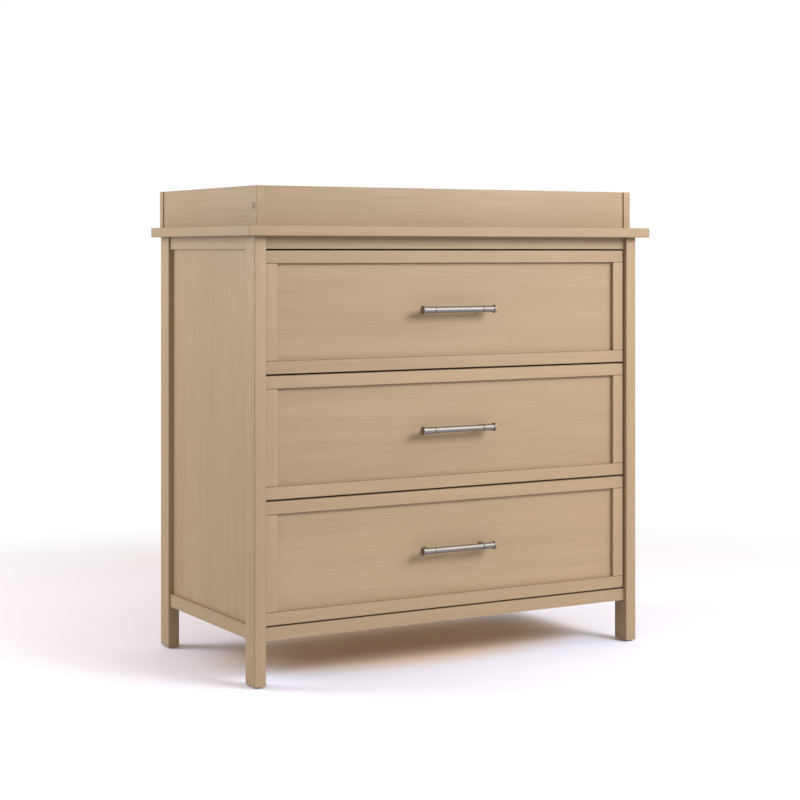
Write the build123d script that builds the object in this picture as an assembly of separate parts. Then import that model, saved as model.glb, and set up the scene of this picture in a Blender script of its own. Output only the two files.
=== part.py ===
"""A changing table: a three-drawer chest with a removable open tray on its top.

Millimetres. +Z is up, the drawers open towards -Y, and +X is to the right seen from the front.
The origin is on the floor, under the centre of the whole object's outline.
"""

import os

from build123d import *

# ---------------------------------------------------------------- driving dimensions

CASE_WIDTH = 874  # over the posts
CASE_DEPTH = 449  # over the posts
POST_WIDTH = 23.5  # along X
POST_DEPTH = 40.5  # along Y
GLIDE_HEIGHT = 3
GLIDE_RADIUS = 8
GLIDE_NAIL_RADIUS = 1.3
GLIDE_NAIL_LENGTH = 14

SLAB_THICKNESS = 19
SLAB_TOP = 858
SLAB_SIDE_OVERHANG = 21
SLAB_FRONT_OVERHANG = 20.5
SLAB_BACK_OVERHANG = 2
SLAB_EASE = 1.5

RAIL_BOTTOM = 86  # underside of all four lower rails
FRONT_RAIL_HEIGHT = 24
FRONT_RAIL_THICKNESS = 20
FRONT_SETBACK = 8.5  # drawer fronts and front rails, behind the posts
SIDE_TOP_RAIL_HEIGHT = 25
SIDE_BOTTOM_RAIL_HEIGHT = 26
SIDE_RAIL_SETBACK = 4
SIDE_PANEL_SETBACK = 10
SIDE_PANEL_THICKNESS = 6
REAR_RAIL_SETBACK = 4
REAR_RAIL_THICKNESS = 16
BACK_PANEL_SETBACK = 7
BACK_PANEL_THICKNESS = 5
GROOVE_DEPTH = 7
TENON_LENGTH = 12
TENON_THICKNESS = 8
TENON_SHOULDER = 4
SLAB_SCREW_X = 300  # outer slab screws, from the middle
REAR_SLAB_SCREW_SETBACK = 16  # clear of the back panel's groove

BRACKET_X = 250  # anti-tip brackets, from the middle
BRACKET_HALF_WIDTH = 12
BRACKET_THICKNESS = 2
BRACKET_BELOW = 28  # reach below and above the underside of the rear top rail
BRACKET_ABOVE = 19
BRACKET_CORNER = 4
STRAP_HOLE_RADIUS = 3
STRAP_HOLE_BELOW = 17
BRACKET_SCREWS_ABOVE = 11
BRACKET_SCREWS_APART = 12

DRAWERS = ("lower", "middle", "upper")
DRAWER_GAP = 3
FRAME_WIDTH = 24.5  # rails and stiles of a drawer front
FRAME_THICKNESS = 18
PANEL_RECESS = 8
PANEL_TONGUE = 6  # thickness of the panel's edge in its groove
FRAME_TENON_SHOULDER = 1
BOX_THICKNESS = 12
BOX_DEPTH = 400
BOX_LIFT = 12  # box bottom edge above the front's bottom edge
BOX_HEIGHT = 190
BOX_END_DROP = 2  # tops of the end boards, below those of the sides
BOX_TOP_ROUND = 2
BOX_DADO = 4
BOX_BOTTOM_THICKNESS = 6
BOX_BOTTOM_LIFT = 10
BOX_BOTTOM_GROOVE = 6
FRONT_SCREW_X = 340  # screws of the applied front, from the middle
FRONT_SCREW_INSET = 40  # and from the top and bottom of the box

SLIDE_WIDTH = 12.7  # from the case to the box side
SLIDE_LENGTH = 400
SLIDE_SETBACK = 2  # behind the drawer front
SLIDE_SCREW_INSET = 25  # end screws, from the ends of the slide
SLIDE_SCREW_HEAD = 1.5
SLIDE_HEIGHT_IN_FRONT = 85  # slide centre above the drawer front's bottom edge
STEEL = 1.2
OUTER_LIP = 10.4  # ends of each member's lips, from the case
INTERMEDIATE_LIP = 11
INNER_LIP = 5.8
INTERMEDIATE_WEB = 3.4  # back of the intermediate member, from the case
OUTER_HALF_HEIGHT = 22.8
INTERMEDIATE_HALF_HEIGHT = 18
INNER_HALF_HEIGHT = 13
MEMBER_STEP = 2  # each end of a moving member that stops short of the next one
CLEAT_HEIGHT = 50

PULL_LENGTH = 166
PULL_CENTRES = 128
PULL_STANDOFF = 26.5  # bar centre in front of the recessed panel
PULL_BAR_RADIUS = 6
PULL_SLEEVE_RADIUS = 6.4
PULL_SLEEVE_START = 55
PULL_FLANGE_RADIUS = 8
PULL_FLANGE_THICKNESS = 3.5
PULL_POST_RADIUS = 4.5

TOPPER_HEIGHT = 75
TOPPER_THICKNESS = 16
TOPPER_SIDE_INSET = 7.5  # side boards, inside the posts' outer faces
TOPPER_BACK_INSET = 5.2  # ends of the back board, inside the posts' outer faces
TOPPER_FRONT_SETBACK = 9  # ends of the side boards, behind the posts' front faces
TOPPER_FRONT_BOARD_SETBACK = 3  # front board, behind the ends of the side boards
LIP_SCREW_PLACES = (-330, -110, 110, 330)
LIP_SCREW_LENGTH = 36

SCREW_HEAD_RADIUS = 3.6
SCREW_HEAD_HEIGHT = 1.8
SCREW_SHANK_RADIUS = 1.9

EASE = 1  # rounding of exposed wooden edges
FINE_EASE = 0.6  # rounding of drawer-front edges

# ---------------------------------------------------------------- derived planes

WHOLE_DEPTH = SLAB_FRONT_OVERHANG + CASE_DEPTH + SLAB_BACK_OVERHANG + TOPPER_THICKNESS
SLAB_FRONT = -WHOLE_DEPTH / 2
POST_FRONT = SLAB_FRONT + SLAB_FRONT_OVERHANG
POST_BACK = POST_FRONT + CASE_DEPTH
SLAB_BACK = POST_BACK + SLAB_BACK_OVERHANG
SLAB_BOTTOM = SLAB_TOP - SLAB_THICKNESS
TOPPER_TOP = SLAB_TOP + TOPPER_HEIGHT

OUTER = CASE_WIDTH / 2  # outer faces of the posts
INNER = OUTER - POST_WIDTH  # inner faces of the posts
SIDE_FRONT = POST_FRONT + POST_DEPTH  # the opening between front and rear posts
SIDE_BACK = POST_BACK - POST_DEPTH

FACE = POST_FRONT + FRONT_SETBACK  # front of the rails and drawer frames
FRAME_BACK = FACE + FRAME_THICKNESS
PANEL_FACE = FACE + PANEL_RECESS
OPENING_BOTTOM = RAIL_BOTTOM + FRONT_RAIL_HEIGHT
OPENING_TOP = SLAB_BOTTOM - FRONT_RAIL_HEIGHT
FRONT_PITCH = (OPENING_TOP - OPENING_BOTTOM - DRAWER_GAP) / len(DRAWERS)
FRONT_HEIGHT = FRONT_PITCH - DRAWER_GAP
FRONT_HALF = INNER - DRAWER_GAP
BOX_HALF = INNER - SLIDE_WIDTH
BOX_INNER = BOX_HALF - BOX_THICKNESS
BOX_BACK = FRAME_BACK + BOX_DEPTH
SLIDE_FRONT = FRAME_BACK + SLIDE_SETBACK
SLIDE_BACK = SLIDE_FRONT + SLIDE_LENGTH
SLIDE_SCREW_PLACES = (
    SLIDE_FRONT + SLIDE_SCREW_INSET,
    (SLIDE_FRONT + SLIDE_BACK) / 2,
    SLIDE_BACK - SLIDE_SCREW_INSET,
)

# ---------------------------------------------------------------- shared shapes


def block(x, y, z):
    """A box between a low and a high value along each axis."""
    centre = ((x[0] + x[1]) / 2, (y[0] + y[1]) / 2, (z[0] + z[1]) / 2)
    return Pos(*centre) * Box(x[1] - x[0], y[1] - y[0], z[1] - z[0])


def eased(board, radius=EASE):
    """A board with all its edges lightly rounded."""
    return fillet(board.edges(), radius)


def both_sides(right_hand):
    """A right-hand piece and its mirror image on the left."""
    return [right_hand, mirror(right_hand, about=Plane.YZ)]


def on_left(shape):
    """The mirror image, on the left, of a right-hand piece."""
    return mirror(shape, about=Plane.YZ)


def cylinder(start, direction, radius, length):
    """A cylinder that begins at start and runs along direction."""
    rod = Cylinder(radius, length, align=(Align.CENTER, Align.CENTER, Align.MIN))
    return Plane(origin=start, z_dir=direction).location * rod


def cut_by(body, *tools):
    """Body with room made for each tool, which may be one shape or a list of shapes."""
    for tool in tools:
        for one in tool if isinstance(tool, list) else [tool]:
            body = body - one
    return max(body.solids(), key=lambda solid: solid.volume)


def screw(head_top, inward, length, head_height=SCREW_HEAD_HEIGHT):
    """A low-headed cross-recess screw, driven inward; head_top is the middle of its outer face."""
    place = Plane(origin=head_top, z_dir=inward).location
    head = Pos(0, 0, head_height / 2) * Cylinder(SCREW_HEAD_RADIUS, head_height)
    head = fillet(head.edges().sort_by(Axis.Z)[0], head_height / 3)
    shank = Pos(0, 0, head_height + length / 2) * Cylinder(SCREW_SHANK_RADIUS, length)
    tip_length, tip_taper = SCREW_SHANK_RADIUS * 0.9, SCREW_SHANK_RADIUS * 0.6
    shank = chamfer(shank.edges().sort_by(Axis.Z)[-1], tip_length, tip_taper)
    arm, width, depth = SCREW_HEAD_RADIUS * 1.2, SCREW_HEAD_RADIUS / 4, head_height * 0.6
    recess = Box(arm, width, 2 * depth) + Box(width, arm, 2 * depth)
    return place * (head + shank - recess)


def save(node, *shapes):
    """Writes one node, in which each shape stays a separate solid."""
    flat = [one for shape in shapes for one in (shape if isinstance(shape, list) else [shape])]
    solids = [solid for shape in flat for solid in shape.solids()]
    whole = solids[0] if len(solids) == 1 else Compound(solids)
    export_step(whole, os.path.join("parts", node + ".step"))


# ---------------------------------------------------------------- case


def right_side_panel():
    """The panel of the right side, with its edges in the grooves round it."""
    x = (OUTER - SIDE_PANEL_SETBACK - SIDE_PANEL_THICKNESS, OUTER - SIDE_PANEL_SETBACK)
    y = (SIDE_FRONT - GROOVE_DEPTH, SIDE_BACK + GROOVE_DEPTH)
    bottom = RAIL_BOTTOM + SIDE_BOTTOM_RAIL_HEIGHT - GROOVE_DEPTH
    top = SLAB_BOTTOM - SIDE_TOP_RAIL_HEIGHT + GROOVE_DEPTH
    return block(x, y, (bottom, top))


def back_panel():
    """The panel of the back, with its edges in the grooves round it."""
    y = (POST_BACK - BACK_PANEL_SETBACK - BACK_PANEL_THICKNESS, POST_BACK - BACK_PANEL_SETBACK)
    half = INNER + GROOVE_DEPTH
    return block((-half, half), y, (OPENING_BOTTOM - GROOVE_DEPTH, OPENING_TOP + GROOVE_DEPTH))


def cross_rail(y, bottom):
    """A front or rear rail, with a stub tenon at each end."""
    body = block((-INNER, INNER), y, (bottom, bottom + FRONT_RAIL_HEIGHT))
    middle = (y[0] + y[1]) / 2
    half = INNER + TENON_LENGTH
    tenon_y = (middle - TENON_THICKNESS / 2, middle + TENON_THICKNESS / 2)
    tenon_z = (bottom + TENON_SHOULDER, bottom + FRONT_RAIL_HEIGHT - TENON_SHOULDER)
    return body + block((-half, half), tenon_y, tenon_z)


def right_rail(bottom, height):
    """A side rail of the right side, with a stub tenon at each end."""
    x = (INNER, OUTER - SIDE_RAIL_SETBACK)
    body = block(x, (SIDE_FRONT, SIDE_BACK), (bottom, bottom + height))
    middle = OUTER - SIDE_PANEL_SETBACK - SIDE_PANEL_THICKNESS / 2
    tenon_x = (middle - TENON_THICKNESS / 2, middle + TENON_THICKNESS / 2)
    tenon_y = (SIDE_FRONT - TENON_LENGTH, SIDE_BACK + TENON_LENGTH)
    tenon_z = (bottom + TENON_SHOULDER, bottom + height - TENON_SHOULDER)
    return body + block(tenon_x, tenon_y, tenon_z)


def right_post(y):
    """A right-hand post, before the joints are cut into it."""
    return eased(block((INNER, OUTER), y, (GLIDE_HEIGHT, SLAB_BOTTOM)))


def glide(x, y):
    """A nailed-on foot glide under the middle of a post."""
    foot = cylinder((x, y, 0), (0, 0, 1), GLIDE_RADIUS, GLIDE_HEIGHT)
    foot = chamfer(foot.edges().sort_by(Axis.Z)[0], GLIDE_HEIGHT / 3)
    return foot + cylinder((x, y, GLIDE_HEIGHT), (0, 0, 1), GLIDE_NAIL_RADIUS, GLIDE_NAIL_LENGTH)


def top_slab():
    """The overhanging top."""
    half = OUTER + SLAB_SIDE_OVERHANG
    slab = block((-half, half), (SLAB_FRONT, SLAB_BACK), (SLAB_BOTTOM, SLAB_TOP))
    return eased(slab, SLAB_EASE)


def slab_screws():
    """Screws up through the top rails, their heads sunk flush in the rails."""
    length = FRONT_RAIL_HEIGHT + SLAB_THICKNESS / 2
    front = FACE + FRONT_RAIL_THICKNESS / 2
    rear = POST_BACK - REAR_SLAB_SCREW_SETBACK
    places = [(x, y) for x in (-SLAB_SCREW_X, 0, SLAB_SCREW_X) for y in (front, rear)]
    return [screw((x, y, OPENING_TOP), (0, 0, 1), length) for x, y in places]


def anti_tip_brackets():
    """Two plates on the rear top rail; the hole below the rail takes a wall strap."""
    face = POST_BACK - REAR_RAIL_SETBACK
    y = (face, face + BRACKET_THICKNESS)
    z = (OPENING_TOP - BRACKET_BELOW, OPENING_TOP + BRACKET_ABOVE)
    plate = block((BRACKET_X - BRACKET_HALF_WIDTH, BRACKET_X + BRACKET_HALF_WIDTH), y, z)
    plate = fillet(plate.edges().filter_by(Axis.Y), BRACKET_CORNER)
    hole_start = (BRACKET_X, face, OPENING_TOP - STRAP_HOLE_BELOW)
    hole = cylinder(hole_start, (0, 1, 0), STRAP_HOLE_RADIUS, BRACKET_THICKNESS)
    return both_sides(plate - hole)


def anti_tip_screws():
    """Two screws through each anti-tip bracket into the rail."""
    outside = POST_BACK - REAR_RAIL_SETBACK + BRACKET_THICKNESS + SCREW_HEAD_HEIGHT
    z = OPENING_TOP + BRACKET_SCREWS_ABOVE
    places = (BRACKET_X - BRACKET_SCREWS_APART / 2, BRACKET_X + BRACKET_SCREWS_APART / 2)
    screws = [screw((x, outside, z), (0, -1, 0), REAR_RAIL_THICKNESS - BRACKET_THICKNESS) for x in places]
    return [hand for one in screws for hand in both_sides(one)]


# ---------------------------------------------------------------- drawer slides


def channel(web, lip, half_height, y, centre_z):
    """A right-hand C-shaped member; web and lip: how far its back and its lips' ends are from the case."""
    outside = sorted((INNER - web, INNER - lip))
    inward = STEEL if lip > web else -STEEL
    inside = sorted((INNER - web - inward, INNER - lip - inward))
    z = (centre_z - half_height, centre_z + half_height)
    hollow = block(inside, (y[0] - 1, y[1] + 1), (z[0] + STEEL, z[1] - STEEL))
    blank = block(outside, y, z)
    corner_x = INNER - web
    corners = [e for e in blank.edges().filter_by(Axis.Y) if abs(e.center().X - corner_x) < 0.01]
    return fillet(corners, 0.8) - hollow


def outer_member(z):
    """The member fixed to the case."""
    return channel(0, OUTER_LIP, OUTER_HALF_HEIGHT, (SLIDE_FRONT, SLIDE_BACK), z)


def intermediate_member(z):
    """The member that travels half as far as the drawer."""
    y = (SLIDE_FRONT + MEMBER_STEP, SLIDE_BACK - 2 * MEMBER_STEP)
    return channel(INTERMEDIATE_WEB, INTERMEDIATE_LIP, INTERMEDIATE_HALF_HEIGHT, y, z)


def inner_member(z):
    """The member fixed to the box side; it opens towards the case."""
    y = (SLIDE_FRONT, SLIDE_BACK - MEMBER_STEP)
    return channel(SLIDE_WIDTH, INNER_LIP, INNER_HALF_HEIGHT, y, z)


def outer_screws(z):
    """Screws inside the right outer member, into the cleat."""
    head, length = INNER - STEEL - SLIDE_SCREW_HEAD, 8
    return [screw((head, y, z), (1, 0, 0), length, SLIDE_SCREW_HEAD) for y in SLIDE_SCREW_PLACES]


def inner_screws(z):
    """Screws inside the right inner member, into the box side."""
    head, length = BOX_HALF + STEEL + SLIDE_SCREW_HEAD, 9
    return [screw((head, y, z), (-1, 0, 0), length, SLIDE_SCREW_HEAD) for y in SLIDE_SCREW_PLACES]


def cleat(z):
    """The board behind an outer member, between the posts."""
    x = (INNER, OUTER - SIDE_PANEL_SETBACK - SIDE_PANEL_THICKNESS)
    return block(x, (SIDE_FRONT, SIDE_BACK), (z - CLEAT_HEIGHT / 2, z + CLEAT_HEIGHT / 2))


# ---------------------------------------------------------------- topper


def topper_bolt(face, inward):
    """A flat-headed connector bolt with a hexagon socket, its head sunk flush."""
    head_radius, head_height, bevel = 7, 1.8, 0.4
    shank_radius, shank_length = 3, 32
    socket_half_width, socket_depth = 2.6, 2.7
    place = Plane(origin=face, z_dir=inward).location
    head = Pos(0, 0, head_height / 2) * Cylinder(head_radius, head_height)
    head = chamfer(head.edges().sort_by(Axis.Z)[0], bevel)
    shank = Pos(0, 0, head_height + shank_length / 2) * Cylinder(shank_radius, shank_length)
    hexagon = RegularPolygon(socket_half_width, 6, major_radius=False)
    return place * (head + shank - extrude(hexagon, socket_depth))


def topper_pieces():
    """The four boards, the corner bolts and the lip screws, as a dictionary of nodes."""
    side_outer = OUTER - TOPPER_SIDE_INSET
    side_inner = side_outer - TOPPER_THICKNESS
    ends = POST_FRONT + TOPPER_FRONT_SETBACK
    front = ends + TOPPER_FRONT_BOARD_SETBACK
    back_half = OUTER - TOPPER_BACK_INSET
    height = (SLAB_TOP, TOPPER_TOP)
    middle = (SLAB_TOP + TOPPER_TOP) / 2

    side = eased(block((side_inner, side_outer), (ends, SLAB_BACK), height))
    front_board = block((-side_inner, side_inner), (front, front + TOPPER_THICKNESS), height)
    back_y = (SLAB_BACK, SLAB_BACK + TOPPER_THICKNESS)
    back_board = eased(block((-back_half, back_half), back_y, (SLAB_BOTTOM, TOPPER_TOP)))

    front_bolt = topper_bolt((side_outer, front + TOPPER_THICKNESS / 2, middle), (-1, 0, 0))
    rear_bolt = topper_bolt((side_outer - TOPPER_THICKNESS / 2, back_y[1], middle), (0, -1, 0))
    bolts = both_sides(front_bolt) + both_sides(rear_bolt)
    lip_z = SLAB_BOTTOM + SLAB_THICKNESS / 2
    lip_screws = [screw((x, back_y[1], lip_z), (0, -1, 0), LIP_SCREW_LENGTH) for x in LIP_SCREW_PLACES]
    return {
        "topper_front_board": cut_by(eased(front_board), bolts),
        "topper_back_board": cut_by(back_board, bolts, lip_screws),
        "topper_left_board": cut_by(on_left(side), bolts),
        "topper_right_board": cut_by(side, bolts),
        "topper_bolts": bolts,
        "topper_lip_screws": lip_screws,
    }


# ---------------------------------------------------------------- drawers


def front_panel(z):
    """The recessed panel: its thinner edge sits in the frame's groove."""
    opening_x = FRONT_HALF - FRAME_WIDTH
    opening_z = (z + FRAME_WIDTH, z + FRONT_HEIGHT - FRAME_WIDTH)
    edge_x = opening_x + GROOVE_DEPTH
    edge_z = (opening_z[0] - GROOVE_DEPTH, opening_z[1] + GROOVE_DEPTH)
    tongue_back = PANEL_FACE + PANEL_TONGUE
    edge = block((-edge_x, edge_x), (PANEL_FACE, tongue_back), edge_z)
    return edge + block((-opening_x, opening_x), (tongue_back, FRAME_BACK), opening_z)


def front_rails(z):
    """The lower and upper frame pieces, as long as the front is wide, grooved for the panel and stiles."""
    groove_half = FRONT_HALF - FRAME_TENON_SHOULDER
    groove_z = (z + FRAME_WIDTH - GROOVE_DEPTH, z + FRONT_HEIGHT - FRAME_WIDTH + GROOVE_DEPTH)
    groove = block((-groove_half, groove_half), (PANEL_FACE, PANEL_FACE + PANEL_TONGUE), groove_z)
    rails = []
    for low in (z, z + FRONT_HEIGHT - FRAME_WIDTH):
        rail = block((-FRONT_HALF, FRONT_HALF), (FACE, FRAME_BACK), (low, low + FRAME_WIDTH))
        rails.append(eased(rail, FINE_EASE) - groove)
    return rails


def front_stile(z):
    """The right-hand upright frame piece, grooved for the panel, with a stub tenon at each end."""
    x = (FRONT_HALF - FRAME_WIDTH, FRONT_HALF)
    ends = (z + FRAME_WIDTH, z + FRONT_HEIGHT - FRAME_WIDTH)
    tongue = (PANEL_FACE, PANEL_FACE + PANEL_TONGUE)
    tenons_z = (ends[0] - GROOVE_DEPTH, ends[1] + GROOVE_DEPTH)
    stile = eased(block(x, (FACE, FRAME_BACK), ends), FINE_EASE)
    groove = block((x[0] - GROOVE_DEPTH, x[0] + GROOVE_DEPTH), tongue, tenons_z)
    tenons = block((x[0] + GROOVE_DEPTH, x[1] - FRAME_TENON_SHOULDER), tongue, tenons_z)
    return stile - groove + tenons


def box_side(z):
    """The right-hand side of the drawer box."""
    side = block((BOX_INNER, BOX_HALF), (FRAME_BACK, BOX_BACK), (z, z + BOX_HEIGHT))
    top_edges = side.edges().filter_by(Axis.Y).sort_by(Axis.Z)[-2:]
    return fillet(top_edges, BOX_TOP_ROUND)


def box_end(z, y):
    """The front or back board of the box, with its ends in the sides' dados."""
    half = BOX_INNER + BOX_DADO
    return block((-half, half), (y, y + BOX_THICKNESS), (z, z + BOX_HEIGHT - BOX_END_DROP))


def box_bottom(z):
    """The bottom board, with its edges in the grooves of the four box boards."""
    half = BOX_INNER + BOX_BOTTOM_GROOVE
    inset = BOX_THICKNESS - BOX_BOTTOM_GROOVE
    low = z + BOX_BOTTOM_LIFT
    y = (FRAME_BACK + inset, BOX_BACK - inset)
    return block((-half, half), y, (low, low + BOX_BOTTOM_THICKNESS))


def pull_bar(z):
    """The tube of the pull, between the two end castings' flanges."""
    half = PULL_LENGTH / 2 - PULL_FLANGE_THICKNESS
    start = (-half, PANEL_FACE - PULL_STANDOFF, z)
    return cylinder(start, (1, 0, 0), PULL_BAR_RADIUS, 2 * half)


def pull_end(z):
    """The right-hand end casting: a sleeve on the bar, a flange and the mounting post."""
    y = PANEL_FACE - PULL_STANDOFF
    end = PULL_LENGTH / 2
    sleeve_length = end - PULL_FLANGE_THICKNESS - PULL_SLEEVE_START
    sleeve = cylinder((PULL_SLEEVE_START, y, z), (1, 0, 0), PULL_SLEEVE_RADIUS, sleeve_length)
    sleeve = chamfer(sleeve.edges().sort_by(Axis.X)[0], (PULL_SLEEVE_RADIUS - PULL_BAR_RADIUS) * 0.8)
    flange_start = (end - PULL_FLANGE_THICKNESS, y, z)
    flange = cylinder(flange_start, (1, 0, 0), PULL_FLANGE_RADIUS, PULL_FLANGE_THICKNESS)
    flange = fillet(flange.edges().filter_by(GeomType.CIRCLE), PULL_FLANGE_THICKNESS / 5)
    post = cylinder((PULL_CENTRES / 2, y, z), (0, 1, 0), PULL_POST_RADIUS, PULL_STANDOFF)
    return sleeve + flange + post


def pull_screws(z):
    """Machine screws from inside the box, through its front board and the panel into the pull."""
    head, length = FRAME_BACK + BOX_THICKNESS + SCREW_HEAD_HEIGHT, 32
    places = (-PULL_CENTRES / 2, PULL_CENTRES / 2)
    return [screw((x, head, z), (0, -1, 0), length) for x in places]


def applied_front_screws(z):
    """Screws that fix the drawer front to the box, near the box front's corners."""
    head, length = FRAME_BACK + BOX_THICKNESS + SCREW_HEAD_HEIGHT, 20
    heights = (z + FRONT_SCREW_INSET, z + BOX_HEIGHT - FRONT_SCREW_INSET)
    places = [(x, height) for x in (-FRONT_SCREW_X, FRONT_SCREW_X) for height in heights]
    return [screw((x, head, height), (0, -1, 0), length) for x, height in places]


def drawer_pieces(name, bottom):
    """All the nodes of one drawer, whose front's bottom edge is at bottom."""
    box_z = bottom + BOX_LIFT
    slide_z = bottom + SLIDE_HEIGHT_IN_FRONT
    pull_z = bottom + FRONT_HEIGHT / 2

    panel = front_panel(bottom)
    ends = [box_end(box_z, FRAME_BACK), box_end(box_z, BOX_BACK - BOX_THICKNESS)]
    sides = both_sides(box_side(box_z))
    floor = box_bottom(box_z)
    bar = pull_bar(pull_z)
    pull_ends = both_sides(pull_end(pull_z))
    members = both_sides(inner_member(slide_z))
    slide_screws = [hand for one in inner_screws(slide_z) for hand in both_sides(one)]
    front_screws = applied_front_screws(box_z)
    handle_screws = pull_screws(pull_z)
    screws = slide_screws + front_screws + handle_screws

    prefix = name + "_drawer_"
    return {
        prefix + "front_panel": cut_by(panel, front_screws, handle_screws),
        prefix + "front_rails": front_rails(bottom),
        prefix + "front_stiles": both_sides(front_stile(bottom)),
        prefix + "box_ends": [cut_by(end, floor, front_screws, handle_screws) for end in ends],
        prefix + "box_sides": [cut_by(side, ends, floor, slide_screws) for side in sides],
        prefix + "box_bottom": floor,
        prefix + "pull_bar": bar,
        prefix + "pull_ends": [cut_by(end, bar, handle_screws) for end in pull_ends],
        prefix + "slide_inner_members": [cut_by(member, slide_screws) for member in members],
        prefix + "slide_intermediate_members": both_sides(intermediate_member(slide_z)),
        prefix + "screws": screws,
    }


# ---------------------------------------------------------------- assembly


def case_pieces(slide_heights, lip_screws):
    """All the nodes of the case; its slides are at slide_heights, and the lip screws enter its slab."""
    front_y = (FACE, FACE + FRONT_RAIL_THICKNESS)
    rear_y = (
        POST_BACK - REAR_RAIL_SETBACK - REAR_RAIL_THICKNESS,
        POST_BACK - REAR_RAIL_SETBACK,
    )
    front_top, front_bottom = cross_rail(front_y, OPENING_TOP), cross_rail(front_y, RAIL_BOTTOM)
    rear_top, rear_bottom = cross_rail(rear_y, OPENING_TOP), cross_rail(rear_y, RAIL_BOTTOM)
    side_top = right_rail(SLAB_BOTTOM - SIDE_TOP_RAIL_HEIGHT, SIDE_TOP_RAIL_HEIGHT)
    side_bottom = right_rail(RAIL_BOTTOM, SIDE_BOTTOM_RAIL_HEIGHT)
    side, back = right_side_panel(), back_panel()

    members = [hand for z in slide_heights for hand in both_sides(outer_member(z))]
    cleats = [hand for z in slide_heights for hand in both_sides(cleat(z))]
    slide_screws = [hand for z in slide_heights for one in outer_screws(z) for hand in both_sides(one)]
    slab_fixings, brackets, bracket_fixings = slab_screws(), anti_tip_brackets(), anti_tip_screws()
    top_fixings = slab_fixings + bracket_fixings

    post_x = OUTER - POST_WIDTH / 2
    front_glide = glide(post_x, POST_FRONT + POST_DEPTH / 2)
    rear_glide = glide(post_x, POST_BACK - POST_DEPTH / 2)
    joints = [front_top, front_bottom, rear_top, rear_bottom, side_top, side_bottom, side, back]
    front_post = cut_by(right_post((POST_FRONT, SIDE_FRONT)), joints, front_glide)
    rear_post = cut_by(right_post((SIDE_BACK, POST_BACK)), joints, rear_glide)
    return {
        "front_left_post": on_left(front_post),
        "front_right_post": front_post,
        "rear_left_post": on_left(rear_post),
        "rear_right_post": rear_post,
        "left_top_rail": on_left(cut_by(side_top, side)),
        "right_top_rail": cut_by(side_top, side),
        "left_bottom_rail": on_left(cut_by(side_bottom, side)),
        "right_bottom_rail": cut_by(side_bottom, side),
        "left_side_panel": on_left(side),
        "right_side_panel": side,
        "front_top_rail": cut_by(front_top, slab_fixings),
        "front_bottom_rail": front_bottom,
        "rear_top_rail": cut_by(rear_top, back, top_fixings),
        "rear_bottom_rail": cut_by(rear_bottom, back),
        "back_panel": back,
        "top_slab": cut_by(top_slab(), slab_fixings, lip_screws),
        "slide_cleats": [cut_by(one, slide_screws) for one in cleats],
        "slide_outer_members": [cut_by(one, slide_screws) for one in members],
        "cabinet_screws": slide_screws + top_fixings,
        "anti_tip_brackets": [cut_by(one, bracket_fixings) for one in brackets],
        "foot_glides": both_sides(front_glide) + both_sides(rear_glide),
    }


def main():
    """Builds every node and writes its file."""
    os.makedirs("parts", exist_ok=True)
    bottoms = {
        name: OPENING_BOTTOM + DRAWER_GAP + index * FRONT_PITCH for index, name in enumerate(DRAWERS)
    }
    topper = topper_pieces()
    slide_heights = [bottom + SLIDE_HEIGHT_IN_FRONT for bottom in bottoms.values()]
    nodes = case_pieces(slide_heights, topper["topper_lip_screws"]) | topper
    for name, bottom in bottoms.items():
        nodes.update(drawer_pieces(name, bottom))
    for node, shape in nodes.items():
        save(node, shape)
    print(len(nodes), "nodes; drawer front height", FRONT_HEIGHT, "; whole depth", WHOLE_DEPTH)


main()
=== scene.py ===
"""Looks for the changing table: pale oak, satin nickel pulls, zinc-plated slides and soft studio light.

Metres, in the frame of the CAD model: +Z is up and the drawers open towards -Y.
"""

import math

import bpy
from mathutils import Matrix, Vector

DRAWERS = ("lower", "middle", "upper")

# Linear colours. Each wood has a light and a dark tone.
OAK_LIGHT = (0.299, 0.2215, 0.1405)
OAK_DARK = (0.242, 0.1733, 0.1052)
BOX_LIGHT = (0.60, 0.49, 0.35)
BOX_DARK = (0.49, 0.38, 0.255)
NICKEL = (0.215, 0.20, 0.19)
ZINC = (0.56, 0.58, 0.60)
ZINC_PLATE = (0.56, 0.57, 0.58)
SCREW_STEEL = (0.46, 0.46, 0.46)
BOLT_STEEL = (0.078, 0.062, 0.050)
PLASTIC = (0.62, 0.58, 0.52)

# About how many features each texture has in a metre, along the grain and then twice across it.
FIBRES = (9.0, 520.0, 520.0)
STREAKS = (1.6, 46.0, 46.0)
CLOUDS = (2.2, 7.0, 7.0)
PORES = (60.0, 1900.0, 1900.0)
BRUSHING = (60.0, 2600.0, 2600.0)
RING_STRETCH = (0.06, 1.0, 0.35)  # rings drawn out along the grain into a long figure

# How much each texture adds to the dark of the wood; they add up to 1.
FIBRE_SHARE = 0.34
STREAK_SHARE = 0.30
CLOUD_SHARE = 0.20
RING_SHARE = 0.16

PORE_COVER = 0.35  # how far an open pore covers the wood's own colour
PORE_SHADE = 0.55  # a pore's colour, as a factor of the wood's dark tone
WOOD_LINE_SHADE = 0.45  # the colour of a fine line of painted shade, as a factor of the wood's dark tone
METAL_LINE_SHADE = 0.2  # and of the metal's colour, for its lines of painted shade

FLOOR = (0.70, 0.736, 0.905)
FLOOR_PAINTED_BOUNCE = (0.74, 0.60, 0.52)  # painted bounce light and shade: a brown tint under the case, not reflected from the wood
TINT_OVAL = (2.2, 4.4, 0.0)  # turns the oval of that painted brown tint into a circle
TINT_FULL = 0.55  # the radius in that circle within which the tint is full
TINT_NONE = 1.1
FADE_START = 1.1  # metres from the object, where the floor begins to fade into the surroundings
FADE_END = 1.9
SURROUNDINGS = 0.81  # how brightly the white surroundings light the object
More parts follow.
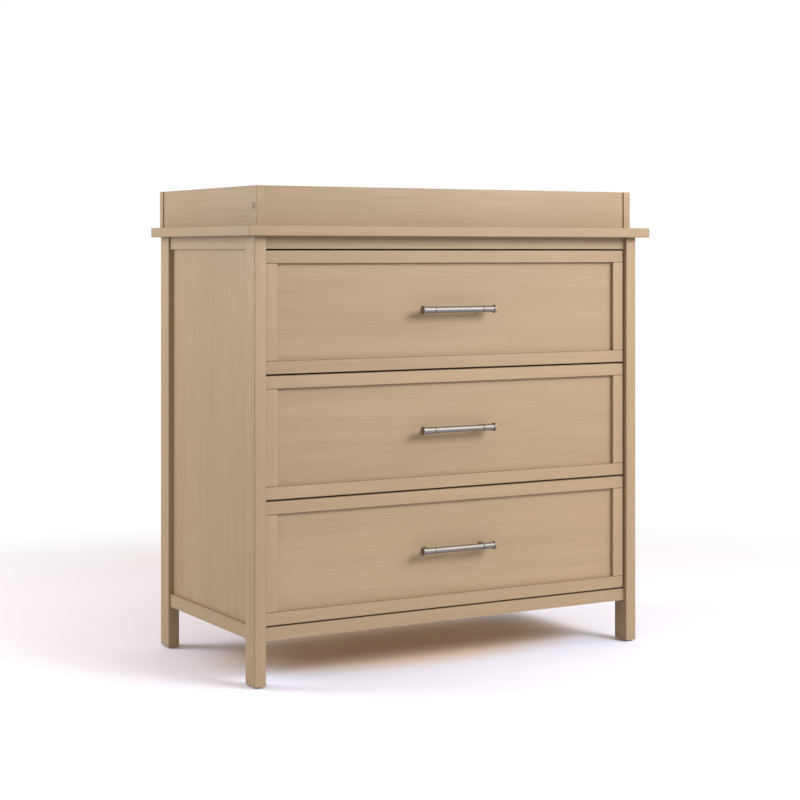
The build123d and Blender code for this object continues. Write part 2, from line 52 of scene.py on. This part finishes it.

# The drawer fronts, for the lines of painted shade along their gaps and joints.
FRONT_BOTTOMS = {"lower": 0.113, "middle": 0.347, "upper": 0.581}
FRONT_HEIGHT = 0.231
FRONT_FACE = -0.21475
RAIL_WIDTH = 0.0245
POST_CORNER = (-0.437, -0.22325, 0.0)  # the outer front corner of the left post
PULL_SEAM = 0.0552  # where the sleeve of a pull's end starts, from the middle of the pull
LINE_REACH = 0.001  # how far the painted shade of a fine line spreads from it

SMOOTH_ANGLE = math.radians(32)  # corners sharper than this stay sharp
WELD_DISTANCE = 0.000005  # joins the corners that neighbouring facets share

FLOOR_HALF = 30.0
LIGHT_TARGET = (0.0, 0.0, 0.45)  # about the middle of the object
WHITE = (1.0, 1.0, 1.0)
ROOM_TINT = (1.14, 0.97, 0.72)  # the colour of the light from the surroundings
FILL_TINT = (1.03, 1.0, 1.0)

CAMERA_PLACE = (-1.9194, -3.3498, 0.8089)
CAMERA_TURN = (math.pi / 2, 0.0, -0.5204)
CAMERA_LENS = 84.03  # mm, on a sensor 36 mm wide
CAMERA_SENSOR = 36.0
CAMERA_SHIFT = -0.185


# ---------------------------------------------------------------- node helpers


class Graph:
    """A material's node tree, with short calls that make nodes and link them."""

    def __init__(self, name):
        self.material = bpy.data.materials.new(name)
        self.material.use_nodes = True
        self.tree = self.material.node_tree
        self.shader = next(n for n in self.tree.nodes if n.type == "BSDF_PRINCIPLED")

    def node(self, kind, **settings):
        made = self.tree.nodes.new(kind)
        for key, value in settings.items():
            setattr(made, key, value)
        return made

    def feed(self, socket, value):
        """Links an output into a socket, or sets the socket's own value."""
        if isinstance(value, bpy.types.NodeSocket):
            self.tree.links.new(value, socket)
        else:
            socket.default_value = value

    def math(self, operation, first, second=0.0):
        made = self.node("ShaderNodeMath", operation=operation)
        self.feed(made.inputs[0], first)
        self.feed(made.inputs[1], second)
        return made.outputs[0]

    def noise(self, vector, scale, detail=2.0, roughness=0.5):
        made = self.node("ShaderNodeTexNoise")
        self.feed(made.inputs["Vector"], vector)
        made.inputs["Scale"].default_value = scale
        made.inputs["Detail"].default_value = detail
        made.inputs["Roughness"].default_value = roughness
        return made.outputs["Fac"]

    def stretch(self, vector, factors):
        made = self.node("ShaderNodeVectorMath", operation="MULTIPLY")
        self.feed(made.inputs[0], vector)
        made.inputs[1].default_value = factors
        return made.outputs[0]

    def length(self, vector):
        made = self.node("ShaderNodeVectorMath", operation="LENGTH")
        self.feed(made.inputs[0], vector)
        return made.outputs["Value"]

    def spread(self, value, low, high, to_low=0.0, to_high=1.0):
        """Maps low..high onto to_low..to_high, smoothly and within those limits."""
        made = self.node("ShaderNodeMapRange", interpolation_type="SMOOTHSTEP")
        self.feed(made.inputs["Value"], value)
        made.inputs["From Min"].default_value = low
        made.inputs["From Max"].default_value = high
        made.inputs["To Min"].default_value = to_low
        made.inputs["To Max"].default_value = to_high
        return made.outputs["Result"]

    def mix(self, factor, first, second):
        made = self.node("ShaderNodeMix", data_type="RGBA")
        self.feed(made.inputs["Factor"], factor)
        colour_a, colour_b = (socket for socket in made.inputs if socket.type == "RGBA")
        self.feed(colour_a, first)
        self.feed(colour_b, second)
        return next(socket for socket in made.outputs if socket.type == "RGBA")

    def bump(self, height, strength, distance):
        made = self.node("ShaderNodeBump")
        self.feed(made.inputs["Height"], height)
        made.inputs["Strength"].default_value = strength
        made.inputs["Distance"].default_value = distance
        self.feed(self.shader.inputs["Normal"], made.outputs[0])

    def object_position(self, offset=(0.0, 0.0, 0.0)):
        place = self.node("ShaderNodeTexCoord").outputs["Object"]
        made = self.node("ShaderNodeVectorMath", operation="ADD")
        self.feed(made.inputs[0], place)
        made.inputs[1].default_value = offset
        return made.outputs[0]


def rgba(colour, factor=1.0):
    """A linear colour times a factor, with the fourth channel that sockets need."""
    return tuple(channel * factor for channel in colour) + (1.0,)


# ---------------------------------------------------------------- materials


def along_grain(graph, position, axis):
    """The position with the grain's axis first, so every wood texture runs along X."""
    split = graph.node("ShaderNodeSeparateXYZ")
    graph.feed(split.inputs[0], position)
    order = {"X": "XYZ", "Y": "YZX", "Z": "ZXY"}[axis]
    joined = graph.node("ShaderNodeCombineXYZ")
    for socket, letter in zip(joined.inputs, order):
        graph.feed(socket, split.outputs[letter])
    return joined.outputs[0]


def painted_shade_line(graph, colour, shade, point, across):
    """Paints shade as a fine dark line at a point; across is 1 on each axis along which the line is thin.
    """
    away = graph.length(graph.stretch(graph.object_position([-c for c in point]), across))
    clear = graph.spread(away, 0.5 * LINE_REACH, LINE_REACH)
    return graph.mix(clear, shade, colour)


def wood(name, axis, light, dark, seed, figure=0.5, tone_and_shade=1.0, lines=()):
    """Close-grained wood along one axis; figure is how its rings show, the tone factor also carries any
    painted shade or light on the board, and lines are its fine lines of painted shade.
    """
    graph = Graph(name)
    offset = (seed * 3.17, seed * 1.73 + 0.4, seed * 0.91 + 0.7)
    grain = along_grain(graph, graph.object_position(offset), axis)

    fibres = graph.noise(graph.stretch(grain, FIBRES), scale=1.0, detail=4.0, roughness=0.62)
    streaks = graph.noise(graph.stretch(grain, STREAKS), scale=1.0, detail=3.0, roughness=0.55)
    clouds = graph.noise(graph.stretch(grain, CLOUDS), scale=1.0, detail=2.0, roughness=0.5)
    pores = graph.noise(graph.stretch(grain, PORES), scale=1.0, detail=1.0, roughness=0.4)

    rings = graph.node("ShaderNodeTexWave", wave_type="RINGS", rings_direction="X")
    graph.feed(rings.inputs["Vector"], graph.stretch(grain, RING_STRETCH))
    rings.inputs["Scale"].default_value = 22.0
    rings.inputs["Distortion"].default_value = 3.2
    rings.inputs["Detail"].default_value = 2.0
    rings.inputs["Detail Scale"].default_value = 0.35

    shares = (
        graph.math("MULTIPLY", graph.spread(fibres, 0.30, 0.72), FIBRE_SHARE),
        graph.math("MULTIPLY", graph.spread(streaks, 0.30, 0.70), STREAK_SHARE),
        graph.math("MULTIPLY", graph.spread(clouds, 0.30, 0.70), CLOUD_SHARE),
        graph.math("MULTIPLY", rings.outputs["Fac"], RING_SHARE * figure),
    )
    amount = shares[0]
    for share in shares[1:]:
        amount = graph.math("ADD", amount, share)
    colour = graph.mix(amount, rgba(light, tone_and_shade), rgba(dark, tone_and_shade))
    open_pores = graph.spread(pores, 0.66, 0.76)
    pore_cover = graph.math("MULTIPLY", open_pores, PORE_COVER)
    colour = graph.mix(pore_cover, colour, rgba(dark, PORE_SHADE * tone_and_shade))
    # Painted shade: fine dark lines along the edges and joints that the lines give.
    for point, across in lines:
        colour = painted_shade_line(graph, colour, rgba(dark, WOOD_LINE_SHADE), point, across)
    graph.feed(graph.shader.inputs["Base Color"], colour)

    dulled = graph.spread(fibres, 0.3, 0.75, to_low=0.44, to_high=0.60)
    graph.feed(graph.shader.inputs["Roughness"], dulled)
    graph.shader.inputs["Specular IOR Level"].default_value = 0.35
    height = graph.math("SUBTRACT", fibres, graph.math("MULTIPLY", open_pores, 0.8))
    graph.bump(height, strength=0.18, distance=0.0002)
    return graph.material


def brushed_metal(name, colour, axis, roughness, contrast, lines=()):
    """Metal with fine brushing along one axis, and any fine lines of painted shade across it."""
    graph = Graph(name)
    grain = along_grain(graph, graph.object_position(), axis)
    brushing = graph.noise(graph.stretch(grain, BRUSHING), scale=1.0, detail=3.0, roughness=0.6)
    cloud = graph.noise(grain, scale=40.0)
    shade = graph.spread(graph.math("MULTIPLY", graph.math("ADD", brushing, cloud), 0.5), 0.35, 0.65)
    surface = graph.mix(shade, rgba(colour, 1 - contrast), rgba(colour, 1 + contrast))
    # Painted shade: fine dark lines across the metal at the given points.
    for point, across in lines:
        surface = painted_shade_line(graph, surface, rgba(colour, METAL_LINE_SHADE), point, across)
    graph.feed(graph.shader.inputs["Base Color"], surface)
    graph.shader.inputs["Metallic"].default_value = 1.0
    dulled = graph.spread(brushing, 0.3, 0.7, to_low=roughness - 0.05, to_high=roughness + 0.07)
    graph.feed(graph.shader.inputs["Roughness"], dulled)
    graph.bump(brushing, strength=0.12, distance=0.00006)
    return graph.material


def moulded_plastic(name, colour):
    """Plastic with a faint moulded texture."""
    graph = Graph(name)
    place = graph.object_position()
    fine = graph.noise(place, scale=1800.0)
    cloud = graph.noise(place, scale=60.0)
    graph.feed(graph.shader.inputs["Base Color"], graph.mix(cloud, rgba(colour, 0.94), rgba(colour, 1.04)))
    graph.feed(graph.shader.inputs["Roughness"], graph.spread(fine, 0.3, 0.7, to_low=0.48, to_high=0.62))
    graph.bump(fine, strength=0.15, distance=0.00005)
    return graph.material


def floor_material():
    """A pale studio floor, faintly mottled, with painted bounce light and shade in brown under the case,
    which fades to white further out.
    """
    graph = Graph("studio_floor")
    place = graph.object_position()
    cloud = graph.noise(place, scale=3.0, detail=3.0)
    mottled = graph.mix(cloud, rgba(FLOOR, 0.985), rgba(FLOOR, 1.015))
    # Painted bounce light and shade: the floor is browner under the case.
    outside = graph.spread(graph.length(graph.stretch(place, TINT_OVAL)), TINT_FULL, TINT_NONE)
    painted_bounce = graph.mix(outside, rgba(FLOOR_PAINTED_BOUNCE), mottled)
    graph.feed(graph.shader.inputs["Base Color"], painted_bounce)
    graph.shader.inputs["Roughness"].default_value = 0.75
    graph.shader.inputs["Specular IOR Level"].default_value = 0.2
    white = graph.node("ShaderNodeEmission")
    seen = graph.node("ShaderNodeLightPath").outputs["Is Camera Ray"]
    strength = graph.spread(seen, 0.0, 1.0, to_low=SURROUNDINGS, to_high=1.0)
    graph.feed(white.inputs["Strength"], strength)
    faded = graph.node("ShaderNodeMixShader")
    graph.feed(faded.inputs[0], graph.spread(graph.length(place), FADE_START, FADE_END))
    graph.feed(faded.inputs[1], graph.shader.outputs[0])
    graph.feed(faded.inputs[2], white.outputs[0])
    output = next(n for n in graph.tree.nodes if n.type == "OUTPUT_MATERIAL")
    graph.feed(output.inputs["Surface"], faded.outputs[0])
    return graph.material


# ---------------------------------------------------------------- which node gets what

OAK_GRAIN = {
    "front_left_post": "Z",
    "front_right_post": "Z",
    "rear_left_post": "Z",
    "rear_right_post": "Z",
    "left_top_rail": "Y",
    "right_top_rail": "Y",
    "left_bottom_rail": "Y",
    "right_bottom_rail": "Y",
    "left_side_panel": "Z",
    "right_side_panel": "Z",
    "front_top_rail": "X",
    "front_bottom_rail": "X",
    "rear_top_rail": "X",
    "rear_bottom_rail": "X",
    "back_panel": "X",
    "top_slab": "X",
    "topper_front_board": "X",
    "topper_back_board": "X",
    "topper_left_board": "Y",
    "topper_right_board": "Y",
}
for drawer in DRAWERS:
    OAK_GRAIN[drawer + "_drawer_front_panel"] = "X"
    OAK_GRAIN[drawer + "_drawer_front_rails"] = "X"
    OAK_GRAIN[drawer + "_drawer_front_stiles"] = "Z"

ALONG_X = (1.0, 0.0, 0.0)
ALL_BUT_X = (0.0, 1.0, 1.0)
ALL_BUT_Z = (1.0, 1.0, 0.0)
# Painted shade at the step where each pull's end sleeve starts.
PULL_SHADE_LINES = [((side * PULL_SEAM, 0.0, 0.0), ALONG_X) for side in (-1, 1)]


def front_shade_lines(drawer):
    """A drawer front's lines of painted shade: both long edges of each of its two rails, along its gaps
    and joints.
    """
    bottom = FRONT_BOTTOMS[drawer]
    top = bottom + FRONT_HEIGHT
    heights = (bottom, bottom + RAIL_WIDTH, top - RAIL_WIDTH, top)
    return [((0.0, FRONT_FACE, height), ALL_BUT_X) for height in heights]


# Fine lines of painted shade: along the front left post's outer corner, and along the drawer fronts' gaps
# and joints.
PAINTED_SHADE_LINES = {"front_left_post": [(POST_CORNER, ALL_BUT_Z)]}
for drawer in DRAWERS:
    for part in ("front_rails", "front_stiles"):
        PAINTED_SHADE_LINES[drawer + "_drawer_" + part] = front_shade_lines(drawer)

BOX_SEED = 31  # past the oak boards' seeds, so no box board repeats one of them
FIGURED = ("panel", "slab", "topper")  # wide boards, whose rings show more
TONES = (1.0, 0.985, 1.015, 0.995, 1.01)  # one board after another is a little lighter or darker

# Painted shade and light on whole boards, by a word in the node's name: factors that darken or lighten a
# board where the lights alone leave it too light or too dark, such as the front top rail in the shade
# under the slab's overhang.
BOARD_PAINTED_SHADING = {
    "slab": 0.93,
    "topper": 0.95,
    "front_top_rail": 0.89,
    "upper_drawer_front_rails": 0.955,
    "lower_drawer": 1.03,
}


def paint(node, material):
    """Gives a CAD node one material."""
    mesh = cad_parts[node].data
    mesh.materials.clear()
    mesh.materials.append(material)


def paint_all():
    """Gives every CAD node its material."""
    for index, (node, axis) in enumerate(OAK_GRAIN.items()):
        figure = 1.0 if any(word in node for word in FIGURED) else 0.5
        # Each board's random tone, times its painted shade or light.
        painted_shading = [factor for word, factor in BOARD_PAINTED_SHADING.items() if word in node]
        tone_and_shade = TONES[index % len(TONES)] * math.prod(painted_shading)
        lines = PAINTED_SHADE_LINES.get(node, ())
        paint(node, wood("oak_" + node, axis, OAK_LIGHT, OAK_DARK, index, figure, tone_and_shade, lines))
    box_woods = {
        axis: wood("box_wood_" + axis.lower(), axis, BOX_LIGHT, BOX_DARK, BOX_SEED + index)
        for index, axis in enumerate("XY")
    }
    nickel = brushed_metal("satin_nickel", NICKEL, "X", roughness=0.52, contrast=0.06, lines=PULL_SHADE_LINES)
    zinc = brushed_metal("bright_zinc", ZINC, "Y", roughness=0.34, contrast=0.10)
    plate = brushed_metal("zinc_plate", ZINC_PLATE, "X", roughness=0.36, contrast=0.10)
    screw = brushed_metal("screw_steel", SCREW_STEEL, "X", roughness=0.32, contrast=0.08)
    bolt = brushed_metal("bolt_steel", BOLT_STEEL, "X", roughness=0.36, contrast=0.08)
    paint("slide_cleats", box_woods["Y"])
    paint("slide_outer_members", zinc)
    paint("anti_tip_brackets", plate)
    paint("foot_glides", moulded_plastic("glide_plastic", PLASTIC))
    paint("cabinet_screws", screw)
    paint("topper_lip_screws", screw)
    paint("topper_bolts", bolt)
    for drawer in DRAWERS:
        prefix = drawer + "_drawer_"
        paint(prefix + "box_ends", box_woods["X"])
        paint(prefix + "box_sides", box_woods["Y"])
        paint(prefix + "box_bottom", box_woods["X"])
        paint(prefix + "pull_bar", nickel)
        paint(prefix + "pull_ends", nickel)
        paint(prefix + "slide_inner_members", zinc)
        paint(prefix + "slide_intermediate_members", zinc)
        paint(prefix + "screws", screw)


def smooth(piece):
    """Rounded faces shade smoothly, and corners stay sharp."""
    for polygon in piece.data.polygons:
        polygon.use_smooth = True
    weld = piece.modifiers.new("weld", "WELD")
    weld.merge_threshold = WELD_DISTANCE
    split = piece.modifiers.new("corners", "EDGE_SPLIT")
    split.split_angle = SMOOTH_ANGLE
    split.use_edge_sharp = False


# ---------------------------------------------------------------- stage, light and camera


def make_floor():
    """A large plain floor."""
    mesh = bpy.data.meshes.new("floor")
    signs = ((-1, -1), (1, -1), (1, 1), (-1, 1))
    corners = [(x * FLOOR_HALF, y * FLOOR_HALF, 0.0) for x, y in signs]
    mesh.from_pydata(corners, [], [(0, 1, 2, 3)])
    mesh.materials.append(floor_material())
    floor = bpy.data.objects.new("floor", mesh)
    bpy.context.scene.collection.objects.link(floor)


def aim(lamp, target):
    """Turns a lamp so that it faces the target."""
    direction = target - lamp.location
    lamp.rotation_euler = direction.to_track_quat("-Z", "Y").to_euler()


def direction_from(azimuth, elevation):
    """The way to a light: azimuth in degrees from the front, positive to the right."""
    a, e = math.radians(azimuth), math.radians(elevation)
    return Vector((math.sin(a) * math.cos(e), -math.cos(a) * math.cos(e), math.sin(e)))


def softbox(name, azimuth, elevation, distance, size, power, colour):
    """A square studio light that faces the middle of the object."""
    data = bpy.data.lights.new(name, "AREA")
    data.size = size
    data.energy = power
    data.color = colour
    lamp = bpy.data.objects.new(name, data)
    bpy.context.scene.collection.objects.link(lamp)
    centre = Vector(LIGHT_TARGET)
    lamp.location = centre + direction_from(azimuth, elevation) * distance
    aim(lamp, centre)


def make_surroundings():
    """A white room, which lights the object more dimly and warmly than the camera sees it."""
    world = bpy.data.worlds.new("studio")
    world.use_nodes = True
    tree = world.node_tree
    lighting = tree.nodes["Background"]
    lighting.inputs["Color"].default_value = rgba(ROOM_TINT)
    lighting.inputs["Strength"].default_value = SURROUNDINGS
    seen = tree.nodes.new("ShaderNodeBackground")
    seen.inputs["Color"].default_value = rgba(WHITE)
    chosen = tree.nodes.new("ShaderNodeMixShader")
    ray = tree.nodes.new("ShaderNodeLightPath")
    tree.links.new(ray.outputs["Is Camera Ray"], chosen.inputs[0])
    tree.links.new(lighting.outputs[0], chosen.inputs[1])
    tree.links.new(seen.outputs[0], chosen.inputs[2])
    tree.links.new(chosen.outputs[0], tree.nodes["World Output"].inputs["Surface"])
    bpy.context.scene.world = world


def make_lights():
    """Three lights on the right, the middle one nearest, and a low fill from behind on the left."""
    make_surroundings()
    softbox("front_light", azimuth=20, elevation=27, distance=3.6, size=1.2, power=63, colour=WHITE)
    softbox("near_light", azimuth=32, elevation=27, distance=2.5, size=0.9, power=31, colour=WHITE)
    softbox("side_light", azimuth=60, elevation=30, distance=3.6, size=1.4, power=18, colour=WHITE)
    softbox("left_fill", azimuth=-120, elevation=19, distance=2.3, size=1.0, power=30.5, colour=FILL_TINT)


def make_camera():
    """A level view from left of the front, so upright edges stay upright; the shift frames the object."""
    data = bpy.data.cameras.new("camera")
    data.lens = CAMERA_LENS
    data.sensor_width = CAMERA_SENSOR
    data.shift_y = CAMERA_SHIFT
    camera = bpy.data.objects.new("camera", data)
    camera.location = CAMERA_PLACE
    camera.rotation_euler = CAMERA_TURN
    bpy.context.scene.collection.objects.link(camera)
    bpy.context.scene.camera = camera


# ---------------------------------------------------------------- the scene

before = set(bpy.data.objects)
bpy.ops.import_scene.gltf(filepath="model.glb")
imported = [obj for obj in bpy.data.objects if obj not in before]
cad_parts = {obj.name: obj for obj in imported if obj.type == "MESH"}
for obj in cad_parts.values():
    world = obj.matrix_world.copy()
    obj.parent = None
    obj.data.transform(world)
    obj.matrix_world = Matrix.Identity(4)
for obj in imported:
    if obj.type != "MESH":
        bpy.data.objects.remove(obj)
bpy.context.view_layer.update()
paint_all()
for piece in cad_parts.values():
    smooth(piece)
make_floor()
make_lights()
make_camera()
bpy.context.scene.view_settings.view_transform = "Standard"
